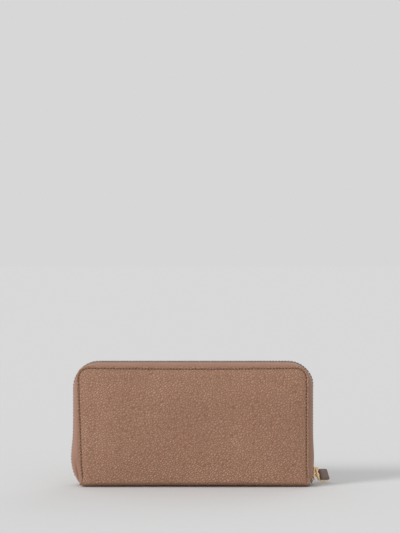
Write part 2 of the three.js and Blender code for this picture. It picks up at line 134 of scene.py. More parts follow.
GUSSET_FOLDS = (5.0, 16.0)  # how far a gusset's fold reaches in, at its foot and at its top
BOARD_RADIUS = ZIP_RADIUS - 2
LINING_RADIUS = ZIP_RADIUS - 3
SLIP_RADIUS = ZIP_RADIUS - 4.5
BAND_FOOT = 1.4  # where the lower ends of the bands and of the tapes start
TAPE_FOOT = 2.2
BEND_FOOT, BEND_TOP = 2.2, 8.0  # where bands and tapes turn from the spine to the cover
FINE_STITCH = {"pitch": 2.2, "length": 1.45, "radius": 0.16}
PULL_STITCH = {"pitch": 1.7, "length": 1.1, "radius": 0.15}

# Where a surface's lines lie close together, by distance from its edge
PANEL_NEAR = (0, 0.08, 0.25, 0.5, 0.8, 1.1, 1.4, 1.7, 1.95, 2.15, 2.35, 2.6, 2.9, 3.3, 3.9, 4.8, 6, 7.5,
              9.3, 11.2, 13)
PLY_NEAR = (0, 0.1, 0.25, 0.5, 0.9, 1.25, 1.5, 1.75, 2.1, 2.8, 4.0, 5.5, 6.2, 6.6, 7.0, 7.6, 9.0)

# Brightness of the sky and the floor
SKY = 0.679
FLOOR = 0.72


# ---- Mesh helpers


def in_scene(name, data):
    obj = bpy.data.objects.new(name, data)
    bpy.context.scene.collection.objects.link(obj)
    return obj


def new_object(name, verts, faces, materials=(), smooth=True):
    """A mesh object from points in mm."""
    mesh = bpy.data.meshes.new(name)
    mesh.from_pydata([tuple(MM * c for c in v) for v in verts], [], faces)
    mesh.validate()
    mesh.update()
    obj = in_scene(name, mesh)
    for material in materials:
        mesh.materials.append(material)
    if smooth:
        smooth_faces(mesh)
    with editing(mesh) as bm:
        bmesh.ops.recalc_face_normals(bm, faces=bm.faces)
    return obj


def smooth_faces(mesh):
    mesh.polygons.foreach_set("use_smooth", [True] * len(mesh.polygons))


@contextmanager
def editing(mesh):
    bm = bmesh.new()
    bm.from_mesh(mesh)
    yield bm
    bm.to_mesh(mesh)
    bm.free()


def apply_modifier(obj, kind, **settings):
    modifier = obj.modifiers.new(kind.lower(), kind)
    for key, value in settings.items():
        setattr(modifier, key, value)
    bpy.context.view_layer.update()
    depsgraph = bpy.context.evaluated_depsgraph_get()
    mesh = bpy.data.meshes.new_from_object(obj.evaluated_get(depsgraph))
    obj.modifiers.clear()
    old = obj.data
    mesh.name = old.name
    obj.data = mesh
    bpy.data.meshes.remove(old)


def circle(count):
    """Angles evenly round a whole turn."""
    return [2 * math.pi * i / count for i in range(count)]


def squared(c, power=0.5):
    """A sine or cosine bent so that a circle made of them becomes a rounded square."""
    return math.copysign(abs(c) ** power, c)


def grid_shell(name, rows, columns, points, look, subdivide=0):
    """A closed shell: points(row, column) gives a point of its outer and one of its inner face."""
    grid = np.array([[points(row, column) for column in columns] for row in rows])
    verts = np.concatenate([grid[:, :, layer].reshape(-1, 3) for layer in (0, 1)])
    last_row, last_column = len(rows) - 1, len(columns) - 1

    def at(i, j, layer=0):
        return (layer * len(rows) + i) * len(columns) + j

    faces = []
    for i in range(last_row):
        for j in range(last_column):
            faces.append((at(i, j), at(i, j + 1), at(i + 1, j + 1), at(i + 1, j)))
            faces.append((at(i, j, 1), at(i + 1, j, 1), at(i + 1, j + 1, 1), at(i, j + 1, 1)))
    for i in range(last_row):
        for a, b, column in ((i, i + 1, 0), (i + 1, i, last_column)):
            faces.append((at(a, column), at(b, column), at(b, column, 1), at(a, column, 1)))
    for j in range(last_column):
        for a, b, row in ((j + 1, j, 0), (j, j + 1, last_row)):
            faces.append((at(row, a), at(row, b), at(row, b, 1), at(row, a, 1)))
    obj = new_object(name, verts, faces, [look])
    if subdivide:
        apply_modifier(obj, "SUBSURF", levels=subdivide, render_levels=subdivide)
    return obj


def stretch(obj):
    """Lets a piece of the covers stand a little taller than its CAD solid."""
    obj.data.transform(Matrix.Diagonal((1, 1, STRETCH, 1)))


def joined(pieces):
    """Several (verts, faces) as one."""
    verts, faces = [], []
    for piece_verts, piece_faces in pieces:
        start = len(verts)
        verts.extend(piece_verts)
        faces.extend(tuple(start + k for k in face) for face in piece_faces)
    return verts, faces


def bevelled_prism(outline, low, high, place, bevel=0.0, name="prism"):
    """A mesh object: a 2-D outline given thickness from low to high, mapped by place(u, v, w)."""
    n = len(outline)
    flat = [(u, v, low) for u, v in outline] + [(u, v, high) for u, v in outline]
    faces = [tuple(range(n - 1, -1, -1)), tuple(range(n, 2 * n))]
    faces += [(i, (i + 1) % n, n + (i + 1) % n, n + i) for i in range(n)]
    obj = new_object(name, [place(*p) for p in flat], faces, smooth=False)
    if bevel:
        apply_modifier(obj, "BEVEL", width=bevel * MM, segments=3, limit_method="ANGLE",
                       angle_limit=math.radians(40), harden_normals=False)
    smooth_faces(obj.data)
    return obj


def sharp_shading(obj, degrees=35):
    """Smooth shading that keeps edges above an angle crisp."""
    with editing(obj.data) as bm:
        for edge in bm.edges:
            if len(edge.link_faces) == 2:
                edge.smooth = edge.calc_face_angle(0) < math.radians(degrees)


def rounded_outline(left, low, right, high, radius, steps=6):
    points = []
    corners = [(right - radius, high - radius, 0), (left + radius, high - radius, 90),
               (left + radius, low + radius, 180), (right - radius, low + radius, 270)]
    for cx, cy, start in corners:
        for k in range(steps + 1):
            turn = math.radians(start + 90 * k / steps)
            points.append((cx + radius * math.cos(turn), cy + radius * math.sin(turn)))
    return points


def join_objects(name, objects):
    """One object from several, which are removed."""
    bm = bmesh.new()
    for obj in objects:
        bm.from_mesh(obj.data)
    mesh = bpy.data.meshes.new(name)
    bm.to_mesh(mesh)
    bm.free()
    for obj in objects:
        data = obj.data
        bpy.data.objects.remove(obj)
        bpy.data.meshes.remove(data)
    return in_scene(name, mesh)


# ---- Materials


def srgb(r, g, b):
    def linear(c):
        c /= 255
        return c / 12.92 if c <= 0.04045 else ((c + 0.055) / 1.055) ** 2.4
    return (linear(r), linear(g), linear(b), 1.0)


class Nodes:
    """A material with short ways to add and link its nodes."""

    def __init__(self, name):
        self.material = bpy.data.materials.new(name)
        self.material.use_nodes = True
        self.tree = self.material.node_tree
        self.shader = self.tree.nodes["Principled BSDF"]

    def add(self, kind, inputs=None, **settings):
        node = self.tree.nodes.new(kind)
        for key, value in settings.items():
            setattr(node, key, value)
        for key, value in (inputs or {}).items():
            self.set(node, key, value)
        return node

    def set(self, node, key, value):
        socket = node.inputs[key]
        if isinstance(value, bpy.types.NodeSocket):
            self.tree.links.new(value, socket)
        else:
            socket.default_value = value

    def shade(self, **inputs):
        for key, value in inputs.items():
            self.set(self.shader, key.replace("_", " "), value)

    def position(self, scale, turn=None):
        """The object's own coordinates, scaled; or drawn out by the scale along turned axes."""
        coordinate = self.add("ShaderNodeTexCoord").outputs["Object"]
        mapping = self.add("ShaderNodeMapping", {"Vector": coordinate, "Scale": scale})
        if turn is not None:
            mapping.vector_type = "TEXTURE"
            mapping.inputs["Rotation"].default_value = (0, math.radians(turn), 0)
        return mapping.outputs["Vector"]

    def noise(self, scale, detail=2.0, roughness=0.5, vector=None):
        vector = vector or self.position((1, 1, 1))
        node = self.add("ShaderNodeTexNoise",
                        {"Vector": vector, "Scale": scale, "Detail": detail, "Roughness": roughness})
        return node.outputs["Fac"]

    def smooth_range(self, value, low, high, to_low=0.0, to_high=1.0):
        node = self.add("ShaderNodeMapRange", {"Value": value, "From Min": low, "From Max": high,
                                               "To Min": to_low, "To Max": to_high})
        node.interpolation_type = "SMOOTHSTEP"
        return node.outputs["Result"]

    def math(self, operation, a, b=0.0, clamp=False):
        node = self.add("ShaderNodeMath", operation=operation, use_clamp=clamp)
        self.set(node, 0, a)
        self.set(node, 1, b)
        return node.outputs[0]

    def times(self, a, b, clamp=False):
        return self.math("MULTIPLY", a, b, clamp)

    def plus(self, a, b):
        return self.math("ADD", a, b)

    def cells(self, vector, scale, randomness, feature="F1"):
        inputs = {"Vector": vector, "Scale": scale, "Randomness": randomness}
        return self.add("ShaderNodeTexVoronoi", inputs, feature=feature).outputs

    def mix(self, factor, a, b):
        node = self.add("ShaderNodeMix", data_type="RGBA")
        self.set(node, 0, factor)
        self.set(node, 6, a)
        self.set(node, 7, b)
        return node.outputs[2]

    def bump(self, height, distance, strength=1.0, below=None):
        inputs = {"Height": height, "Distance": distance * MM, "Strength": strength}
        if below is not None:
            inputs["Normal"] = below
        return self.add("ShaderNodeBump", inputs).outputs["Normal"]


def grained_leather(name, color, crease_shade_color, crest):
    """Pebbled leather: close round grains, with duller creases between them that are darkened as painted
    shade.
    """
    m = Nodes(name)
    place = m.position((1.3, 1, 0.85), turn=-38)
    warp = m.add("ShaderNodeTexNoise", {"Vector": place, "Scale": 330.0, "Detail": 2.0})
    bent = m.add("ShaderNodeVectorMath", operation="MULTIPLY_ADD")
    m.set(bent, 0, warp.outputs["Color"])
    m.set(bent, 1, (0.0009, 0.0009, 0.0009))
    m.set(bent, 2, place)
    edges = m.cells(bent.outputs[0], 530.0, 0.85, "DISTANCE_TO_EDGE")["Distance"]
    each = m.cells(bent.outputs[0], 530.0, 0.85)["Color"]
    pebble = m.smooth_range(edges, 0.0, 0.42)
    crease = m.smooth_range(edges, 0.0, 0.16)
    own_tone = m.times(m.add("ShaderNodeSeparateColor", {"Color": each}).outputs["Red"], 0.35)
    blotch = m.smooth_range(m.noise(24.0, 3.0, 0.55), 0.3, 0.75)
    tone = m.mix(m.plus(m.times(blotch, 0.5), own_tone), color, crest)
    # Painted shade: near the grains' edges the tone turns to the darker colour, as shade in the creases.
    tone = m.mix(crease, crease_shade_color, tone)
    fine = m.noise(2400.0, 3.0, 0.6)
    slow = m.bump(m.noise(150.0, 2.0, 0.5), 0.35, 0.6)
    height = m.plus(pebble, m.times(fine, 0.12))
    m.shade(Base_Color=tone, Normal=m.bump(height, 0.42, 1.0, slow))
    m.shade(Roughness=m.smooth_range(pebble, 0.0, 1.0, 0.6, 0.34))
    return m.material


def smooth_leather(name, color, shade_color, rough=0.5, depth=0.05):
    """Leather with only a fine, close grain and slow variation in tone."""
    m = Nodes(name)
    place = m.position((1, 1, 1))
    pores = m.cells(place, 1500.0, 1.0, "DISTANCE_TO_EDGE")["Distance"]
    line = m.times(pores, 5.0, clamp=True)
    creases = m.noise(420.0, 4.0, 0.6)
    height = m.plus(m.times(line, 0.5), creases)
    blotch = m.noise(55.0, 3.0, 0.55)
    patches = m.times(m.math("SUBTRACT", blotch, 0.42, clamp=True), 1.5, clamp=True)
    tone = m.mix(patches, color, shade_color)
    m.shade(Base_Color=tone, Roughness=rough, Normal=m.bump(height, depth, 0.7))
    return m.material


def woven(name, color, dark, pitch, depth=0.12):
    """Plain weave: two sets of threads, one along and one across, with fuzz."""
    m = Nodes(name)
    per_metre = 1000.0 / pitch
    place = m.position((per_metre, per_metre, per_metre))
    parts = m.add("ShaderNodeSeparateXYZ", {"Vector": place})

    def wave(socket):
        return m.math("ABSOLUTE", m.math("SINE", m.times(socket, math.pi)))

    across = m.plus(parts.outputs["X"], parts.outputs["Y"])
    ridges = m.math("MAXIMUM", m.times(wave(across), 0.8), wave(parts.outputs["Z"]))
    fuzz = m.noise(1800.0, 3.0, 0.6)
    height = m.plus(ridges, m.times(fuzz, 0.4))
    # Painted shade: the low parts of the weave, between the threads, take the dark colour.
    tone = m.mix(m.times(height, 0.75, clamp=True), dark, color)
    m.shade(Base_Color=tone, Roughness=0.85, Normal=m.bump(height, depth, 0.8),
            Sheen_Weight=0.25, Sheen_Roughness=0.5)
    return m.material


def metal(name, color):
    """Plated metal with faint handling marks."""
    m = Nodes(name)
    smudge = m.noise(240.0, 4.0, 0.6)
    scratch = m.noise(900.0, 2.0, 0.5, m.position((1, 1, 9)))
    marks = m.add("ShaderNodeMapRange", {"Value": smudge, "From Min": 0.3, "From Max": 0.75,
                                         "To Min": 0.128, "To Max": 0.272})
    m.shade(Base_Color=color, Metallic=1.0, Roughness=marks.outputs["Result"],
            Normal=m.bump(scratch, 0.008, 0.25))
    return m.material


def moulded(name, color, dark, rough=0.42):
    """Moulded plastic with slight mottling."""
    m = Nodes(name)
    grain = m.noise(2200.0, 2.0, 0.5)
    tone = m.mix(m.noise(300.0, 2.0), dark, color)
    m.shade(Base_Color=tone, Roughness=rough, Normal=m.bump(grain, 0.02, 0.4))
    return m.material


# The second colour is painted shade for the creases between the grains.
LEATHER_LOOK = grained_leather("grained_leather", srgb(166, 122, 97), srgb(137, 98, 75),
                               srgb(184, 142, 115))
BAND_LOOK = smooth_leather("band_leather", srgb(160, 120, 102), srgb(148, 108, 91), rough=0.48)
# In the woven looks below, the second colour is painted shade in the hollows of the weave.
THREAD_LOOK = woven("thread", srgb(150, 112, 90), srgb(112, 80, 62), pitch=0.25, depth=0.05)
# Painted shade for the needle holes between the stitches.
HOLE_SHADE_LOOK = moulded("stitch_hole_shade", srgb(92, 61, 46), srgb(76, 48, 35), rough=0.9)
TAPE_LOOK = woven("zip_tape", srgb(140, 110, 94), srgb(98, 74, 62), pitch=0.5)
TOOTH_LOOK = moulded("zip_teeth", srgb(158, 128, 112), srgb(140, 112, 96))
GOLD_LOOK = metal("pale_gold", srgb(242, 212, 168))
PULL_LOOK = smooth_leather("pull_leather", srgb(112, 90, 80), srgb(92, 72, 62), rough=0.42, depth=0.08)
LINING_LOOK = woven("lining", srgb(164, 134, 112), srgb(124, 97, 78), pitch=0.4, depth=0.06)
STRIP_LOOK = smooth_leather("pocket_leather", srgb(158, 120, 98), srgb(146, 108, 87), rough=0.5, depth=0.07)
BOARD_LOOK = moulded("stiffener_board", srgb(136, 106, 88), srgb(120, 92, 75), rough=0.9)


# ---- Panel outline, and how use has let it settle


def smooth_step(t):
    t = min(max(t, 0.0), 1.0)
    return t * t * (3 - 2 * t)


def hump(distance, width):
    return math.exp(-((distance / width) ** 2))


def rounded_point(x, z, half, top, radius):
    """Moves a point of a square-cornered ply so that its two top corners are round.

    The inset from the nearest of the two sides and the top keeps its value.
    """
    side = half - abs(x)
    drop = top - z
    inset = min(side, drop)
    r = radius - inset
    along = max(side, drop) - inset
    if r <= 0 or along >= r:
        return x, z
    turn = math.pi / 4 * along / r
    angle = math.pi / 4 + (turn if side > drop else -turn)
    return math.copysign(half - radius + r * math.cos(angle), x), top - radius + r * math.sin(angle)


def lean(x, z):
    return EDGE_LEAN * (1 - z / PANEL_TOP) * smooth_step(1 - (x + HALF_WIDTH) / LEAN_REACH)


def settled(x, z):
    """A point of the panel's outline in use: the left edge leans, the top sags, the foot arches."""
    across = max(0.0, 1 - (x / HALF_WIDTH) ** 2)
    sag = TOP_SAG * across * smooth_step(2.5 * z / PANEL_TOP - 1.5)
    arch = FOOT_ARCH * across * (1 - smooth_step(z / 30))
    up = smooth_step(z / PANEL_TOP)
    return x + lean(x, z) - PANEL_SKEW * smooth_step(z / 20), z - sag + arch + PANEL_LIFT * up


def turn_point(cx, cz, r, angle):
    direction = (math.cos(angle), math.sin(angle))
    return (cx + r * direction[0], cz + r * direction[1]), direction


def edge_path(inset, radius, low, step):
    """Points and outward directions along the panel's edge, left foot to right foot."""
    half = HALF_WIDTH - inset
    top = PANEL_TOP - inset
    r = radius - inset
    runs = [
        (top - r - low, lambda s: ((-half, low + s), (-1, 0))),
        (math.pi / 2 * r, lambda s: turn_point(-half + r, top - r, r, math.pi - s / r)),
        (2 * (half - r), lambda s: ((-half + r + s, top), (0, 1))),
        (math.pi / 2 * r, lambda s: turn_point(half - r, top - r, r, math.pi / 2 - s / r)),
        (top - r - low, lambda s: ((half, top - r - s), (1, 0))),
    ]
    total = sum(length for length, _ in runs)
    count = max(2, round(total / step))
    result = []
    for k in range(count + 1):
        s = total * k / count
        for length, at in runs:
            if s <= length + 1e-9:
                break
            s -= length
        result.append(at(min(s, length)))
    return result


def graded(low, high, near_low, near_high, count):
    """Lines between two limits, closer together near them."""
    inside = np.linspace(low + max(near_low, default=0), high - max(near_high, default=0), count)
    return ([low + d for d in near_low if d < max(near_low)] + list(inside)
            + [high - d for d in reversed(near_high) if d < max(near_high)])


# ---- Cover leathers and linings, each with half of the spine


def panel_relief(x, z):
    """How far the panel's outer face stands off its plane: padding, stitch groove and turned edge."""
    side = HALF_WIDTH - abs(x)
    drop = PANEL_TOP - z
    inset = min(side, drop)
    low = 0.3 + 0.7 * smooth_step((z - 1) / 26)
    pad = PUFF * smooth_step((side - STITCH_INSET) / 30) * smooth_step((drop - STITCH_INSET) / 26) * low
    groove = -GROOVE_DEPTH * hump(inset - STITCH_INSET, GROOVE_WIDTH)
    shoulder = 0.8 * smooth_step((inset - STITCH_INSET) / 7)
    roll = 0.0
    if inset < EDGE_ROLL:
        roll = math.sqrt(max(EDGE_ROLL**2 - (EDGE_ROLL - inset) ** 2, 0)) - EDGE_ROLL
    waves = 0.2 * math.sin(x / 23.0 + 0.6) * math.sin(z / 17.0 + 1.1) * smooth_step((inset - 5) / 15)
    return pad + groove + shoulder + roll + waves


def cover_profile():
    """The leather's section from the spine's middle to the top edge: (y, z, slope) of its outer face."""
    flat = HALF_DEPTH - FOOT_REACH
    rise = 2 * FOOT_GAP / math.tan(FOOT_SLOPE)
    profile = [(share * flat, 0.0, 0.0) for share in (0.0, 0.5)]
    for t in (0.0, 0.25, 0.5, 0.75):
        profile.append((flat + rise * t, FOOT_GAP * t * t, math.atan(math.tan(FOOT_SLOPE) * t)))
    radius = (FOOT_REACH - rise) / (1 - math.sin(FOOT_SLOPE))
    middle_z = FOOT_GAP + radius * math.cos(FOOT_SLOPE)
    for turn in np.linspace(FOOT_SLOPE, math.pi / 2, 7):
        profile.append((HALF_DEPTH - radius * (1 - math.sin(turn)), middle_z - radius * math.cos(turn), turn))
    zs = graded(FOLD_Z + 2.4, PANEL_TOP, (), PANEL_NEAR, 24)
    return profile + [(HALF_DEPTH, z, math.pi / 2) for z in zs if z > middle_z + 1]


def cover_skin(name, side):
    """The cover's leather with half of the spine's, bent round the fold between them."""
    corner_width = 3.5

    def points(station, x):
        y, z, turn = station
        px, pz = settled(*rounded_point(x, z, HALF_WIDTH, PANEL_TOP, PANEL_RADIUS))
        corner = smooth_step((abs(x) - HALF_WIDTH + corner_width) / corner_width)
        px -= math.copysign(corner * (1 - smooth_step(z / 5)), x)
        lift = panel_relief(x, max(z, 1.0)) * smooth_step((z - 0.5) / 4)
        return ((px, side * (y + lift), pz),
                (px, side * (y - LEATHER * math.sin(turn)), pz + LEATHER * math.cos(turn)))

    columns = graded(-HALF_WIDTH, HALF_WIDTH, PANEL_NEAR, PANEL_NEAR, 56)
    skin = grid_shell(f"{name}_cover_leather", cover_profile(), columns, points, LEATHER_LOOK, 1)
    stretch(skin)
    stand_for(skin, "outer_leather", f"{name}_leather", "spine_leather")
    blend_at_fold(skin, name, SPINE_RIM - 1.5, FOLD_Z + 2.5)


def lining_skin(name, side):
    """The cover's cloth lining, which runs on under the pockets to the middle of the spine."""
    low, high = box_mm("back_lining")
    foot = box_mm("spine_lining")[0][2]
    thick = high[1] - low[1]
    bend = 2.9
    flat = high[1] - bend
    profile = [(share * flat, foot) for share in (0.0, 0.4, 0.75)]
    for k in range(9):
        turn = math.pi / 2 * k / 8
        profile.append((high[1] - bend * (1 - math.sin(turn)), foot + bend * (1 - math.cos(turn))))
    profile += [(high[1], z) for z in graded(foot + bend + 1.5, high[2], (), PLY_NEAR, 18)]
    middle = np.array([0, foot + bend + 1.0])

    def points(station, x):
        y, z = station
        inward = Vector((0.0, 1.0)) if y < flat else Vector(middle - np.array(station)).normalized()
        if z > middle[1]:
            inward = Vector((-1.0, 0.0))
        px, pz = settled(*rounded_point(x, z, high[0], high[2], LINING_RADIUS))
        ripple = 0.06 * math.sin(x / 6.1) * math.sin(z / 9.0 + 0.4 * math.sin(x / 15))
        reach = thick + ripple
        return (px, side * y, pz), (px, side * (y + inward.x * reach), pz + inward.y * reach)

    columns = graded(-high[0], high[0], PLY_NEAR, PLY_NEAR, 40)
    skin = grid_shell(f"{name}_cloth_lining", profile, columns, points, LINING_LOOK)
    stretch(skin)
    stand_for(skin, "lining", f"{name}_lining", "spine_lining")
    blend_at_fold(skin, name, SPINE_RIM - 1.5, FOLD_Z + 1.5)


def stand_for(obj, slot, *nodes, body=None):
    """Hides the CAD nodes that a piece stands for and puts it on their body; slot is not used."""
    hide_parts(*nodes)
    if body:
        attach(obj, body)


def blend_at_fold(obj, name, low, high):
    """Bakes the piece's placing into its mesh; low and high are not used."""
    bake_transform(obj)


# ---- Flat plies: boards, pockets, walls and the coin pocket's tapes


def ply(node, look, slot, body, relief, radius=0.0, facing=-1, settle=False):
    """A thin ply in its CAD node's place, with a relief on the face that shows.

    Facing is -1 where that face looks to the wallet's middle plane, and 1 where it looks away.
    """
    low, high = box_mm(node)
    side = 1 if low[1] + high[1] > 0 else -1
    near, far = span(node, 1)

    def points(z, x):
        px, pz = rounded_point(x, z, high[0], high[2], radius) if radius else (x, z)
        if settle:
            px, pz = settled(px, pz)
        rise = relief(high[0] - abs(x), high[2] - z, x)
        return ((px, side * (far + max(facing, 0) * rise), pz),
                (px, side * (near + min(facing, 0) * rise), pz))

    rows = graded(low[2], high[2], (), PLY_NEAR, 14)
    columns = graded(low[0], high[0], PLY_NEAR, PLY_NEAR, 38)
    sheet = grid_shell(f"{node}_ply", rows, columns, points, look)
    if body != "spine":
        stretch(sheet)
    stand_for(sheet, slot, node, body=body)


def hem_relief(side, drop, x, hem=0.2, width=6.6, crease=1.5):
    """A turned top edge: thicker down to its cut end, with a pressed line along the stitching."""
    turned = hem * (1 - smooth_step((drop - width) / 0.5))
    line = -0.16 * hump(drop - crease, 0.3)
    roll = -0.22 * (1 - smooth_step(drop / 0.3))
    waves = 0.05 * math.sin(x / 11.0) * (1 - smooth_step((drop - 9) / 3))
    return turned + line + roll + waves


def plain_relief(side, drop, x):
    return 0.03 * math.sin(x / 9.0 + drop / 7.0)


def wall_relief(side, drop, x):
    """Cloth wall: a hem along the top, and a slack belly below it."""
    belly = 0.9 * smooth_step((side - 12) / 25) * smooth_step((drop - 8) / 20)
    return hem_relief(side, drop, x, hem=0.25, width=9.0, crease=2.1) + belly


def strip_relief(side, drop, x):
    """A card strip: the hem, and a pressed line down the middle between the two columns of cards."""
    divide = 0.14 * hump(abs(x), 0.5) + 0.14 * hump(side - 2.1, 0.5)
    return hem_relief(side, drop, x) - divide * (1 - smooth_step((drop - 12) / 1))


def card_pockets(name, side):
    """Slip pocket and card strips, with stitch rows at both sides and down the middle."""
    body = f"{name}_cover"
    slip = f"{name}_slip_panel"
    ply(slip, LINING_LOOK, "lining", body, hem_relief, radius=SLIP_RADIUS)
    runs = []
    foot = box_mm(f"{name}_card_strip_1")[0][2] + 3
    for n in range(1, CARD_STRIPS + 1):
        node = f"{name}_card_strip_{n}"
        ply(node, STRIP_LOOK, "outer_leather", body, strip_relief)
        low, high = box_mm(node)
        y = side * (span(node, 1)[0] - 0.12)
        for x in (low[0] + 2.1, 0.0, high[0] - 2.1):
            runs.append([(x, y, foot), (x, y, high[2] - 0.8)])
        foot = high[2] + 0.6
    low, high = box_mm(slip)
    y = side * (span(slip, 1)[0] - 0.1)
    runs.append([(low[0] + 13, y, high[2] - 1.5), (high[0] - 13, y, high[2] - 1.5)])
    stitches(f"{name}_pocket", runs, (0, -side, 0), body, "outer_leather", **FINE_STITCH)


# ---- Stitches


def capsule(centre, along, up, length, radius, rings=3):
    """A thread's short visible run, with its two ends dipping into the leather."""
    across = along.cross(up)
    straight = length / 2 - radius
    stations = []
    for k in range(rings + 1):
        turn = math.pi / 2 * k / rings
        stations.append((-straight - radius * math.cos(turn), max(radius * math.sin(turn), radius * 0.06)))
    stations += [(-s, r) for s, r in reversed(stations)]
    rows = []
    for s, r in stations:
        middle = centre + along * s
        arch = -0.35 * radius * (2 * s / length) ** 2
        rows.append([tuple(middle + across * (r * math.cos(a)) + up * (r * math.sin(a) + arch))
                     for a in circle(8)])
    return lofted(rows)


def lofted(rings, closed=False):
    """Points and faces of a skin over rings, capped at its two ends, or with the ends joined."""
    n = len(rings[0])
    verts = [p for ring in rings for p in ring]
    whole = len(verts)
    faces = []
    for k in range(len(rings) if closed else len(rings) - 1):
        for i in range(n):
            a, b = k * n + i, k * n + (i + 1) % n
            faces.append((a, b, (b + n) % whole, (a + n) % whole))
    if not closed:
        faces.append(tuple(range(n - 1, -1, -1)))
        faces.append(tuple(range(whole - n, whole)))
    return verts, faces


def along_run(points, distance, s):
    """The point and the direction at a distance along a run of points."""
    k = min(max(int(np.searchsorted(distance, s)), 1), len(points) - 1)
    share = (s - distance[k - 1]) / max(distance[k] - distance[k - 1], 1e-9)
    return points[k - 1].lerp(points[k], share), (points[k] - points[k - 1]).normalized()


def stitches(name, runs, normal, body, slot, pitch=STITCH_PITCH, length=STITCH_LENGTH,
             radius=STITCH_RADIUS, slant=0.12):
    """Threads, and dark capsules between them as painted shade of the needle holes, along runs of points."""
    normal = Vector(normal)
    threads, hole_shades = [], []
    for run in runs:
        points = [Vector(p) for p in run]
        distance = [0.0]
        for a, b in zip(points, points[1:]):
            distance.append(distance[-1] + (b - a).length)
        count = max(1, round(distance[-1] / pitch))
        for k in range(count):
            centre, along = along_run(points, distance, (k + 0.5) * distance[-1] / count)
            tilted = (along + along.cross(normal) * slant).normalized()
            threads.append(capsule(centre, tilted, normal, length, radius))
        # Painted shade: a dark capsule at each needle hole, where the hole's shade falls.
        for k in range(count + 1):
            centre, along = along_run(points, distance, k * distance[-1] / count)
            hole_shades.append(capsule(centre, along, normal, 1.3 * (pitch - length), radius * 1.15, rings=2))
    for part, shapes, look in (("thread", threads, THREAD_LOOK), ("hole_shades", hole_shades, HOLE_SHADE_LOOK)):
        obj = new_object(f"{name}_{part}", *joined(shapes), [look])
        if body.endswith("_cover"):
            stretch(obj)
        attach(obj, body)


def panel_stitches(name, side):
    lift = panel_relief(0, PANEL_TOP - STITCH_INSET) + 0.1
    run = []
    for (x, z), _ in edge_path(STITCH_INSET, PANEL_RADIUS, FOLD_Z + 3.2, 0.6):
        x, z = settled(x, z)
        run.append((x, side * (HALF_DEPTH + lift), z))
    stitches(f"{name}_panel", [run], (0, side, 0), f"{name}_cover", "outer_leather")


# ---- Edge bands, tapes and teeth


def bulge(x, z):
    """How far the band is pushed out past its own curve; low on the left it is most."""
    return (BULGE if x < 0 else 0.9) * hump(z - BULGE_Z, BULGE_SPREAD)


def tuck(x, z):
    """How far the band's lower end turns in towards the spine's corner."""
    return 7.5 * math.exp(-z / 6) if x < 0 else 6.0 * math.exp(-z / 4.5)


def zip_shift(x, z):
    """The zip's own way out or in; on the right the slider holds it in its place."""
    high = TEETH_PROUD * smooth_step((z - SLIDER_REACH) / 10)
    if x > 0:
        return high
    return TEETH_PROUD + 0.8 * bulge(x, z) - tuck(x, z)


def corner_reach(dx, dz):
    """How far the panel's tighter corner stands out past the zip's, in a direction."""
    far = max(abs(dx), dz)
    offset = ZIP_RADIUS - PANEL_RADIUS
    reach = ZIP_RADIUS / far
    if reach * min(abs(dx), dz) > offset:
        along = offset * (abs(dx) + dz)
        reach = along + math.sqrt(along**2 - 2 * offset**2 + PANEL_RADIUS**2)
    return reach - ZIP_RADIUS


def edge_band(name, side):
    """The leather band, from behind the panel's edge to beside the teeth."""
    end_y = BAND_LOW[1]
    steps = 10
    rings = []
    for (x, z), (dx, dz) in edge_path(0.0, ZIP_RADIUS, BAND_FOOT, 1.8):
        sx, sz = settled(x, z)
        first = BAND_START_OUT + (sx - x) * dx + (sz - z) * dz + corner_reach(dx, dz)
        last = max(BAND_OUT + bulge(x, z) - tuck(x, z), first + 0.5)
        steep = 0.9 + 0.5 * max(dx, 0)  # on the right the band leaves the panel's edge more slowly
        fold = 2.2 * hump(z - 11, 8) if x < 0 else 0.0  # the crease low on the left
        outer, inner = [], []
        for i in range(steps + 1):
            turn = math.pi / 2 * i / steps
            out = first + (last - first) * math.sin(turn) ** steep
            y = BAND_START_Y - (BAND_START_Y - end_y) * (1 - math.cos(turn)) ** 0.9
            y -= fold * hump(i - 2.4, 0.9)
            outer.append((x + dx * out, side * y, z + dz * out))
            out -= BAND_THICK
            inner.append((x + dx * out, side * (y - 0.15), z + dz * out))
        lip_out, lip_y = last - 0.35, end_y - 0.28
        rings.append(outer + [(x + dx * lip_out, side * lip_y, z + dz * lip_out)] + inner[::-1])
    band = new_object(f"{name}_leather_band", *lofted(rings), [BAND_LOOK])
    apply_modifier(band, "SUBSURF", levels=1, render_levels=1)
    stretch(band)
    stand_for(band, "band_leather", f"{name}_edge_band")
    blend_at_fold(band, name, BEND_FOOT, BEND_TOP)


def zip_tape(name, side):
    """The woven tape under the teeth, which drops away below the band."""
    start = TAPE_LOW[1]
    columns = [(0.2, 0.0), (start + 0.4, 0.0), (start + 1.4, -0.12), (start + 2.8, -0.6),
               (TAPE_HIGH[1], -1.1)]
    rings = []
    for (x, z), (dx, dz) in edge_path(0.0, ZIP_RADIUS, TAPE_FOOT, 2.0):
        upper, lower = [], []
        for y, drop in columns:
            out = TEETH_MIDDLE + drop + TAPE_THICK / 2 + zip_shift(x, z)
            upper.append((x + dx * out, side * y, z + dz * out))
            out -= TAPE_THICK
            lower.append((x + dx * out, side * y, z + dz * out))
        rings.append(upper + lower[::-1])
    tape = new_object(f"{name}_woven_tape", *lofted(rings), [TAPE_LOOK])
    stretch(tape)
    stand_for(tape, "zip_tape", f"{name}_zip_tape")
    blend_at_fold(tape, name, BEND_FOOT, BEND_TOP)


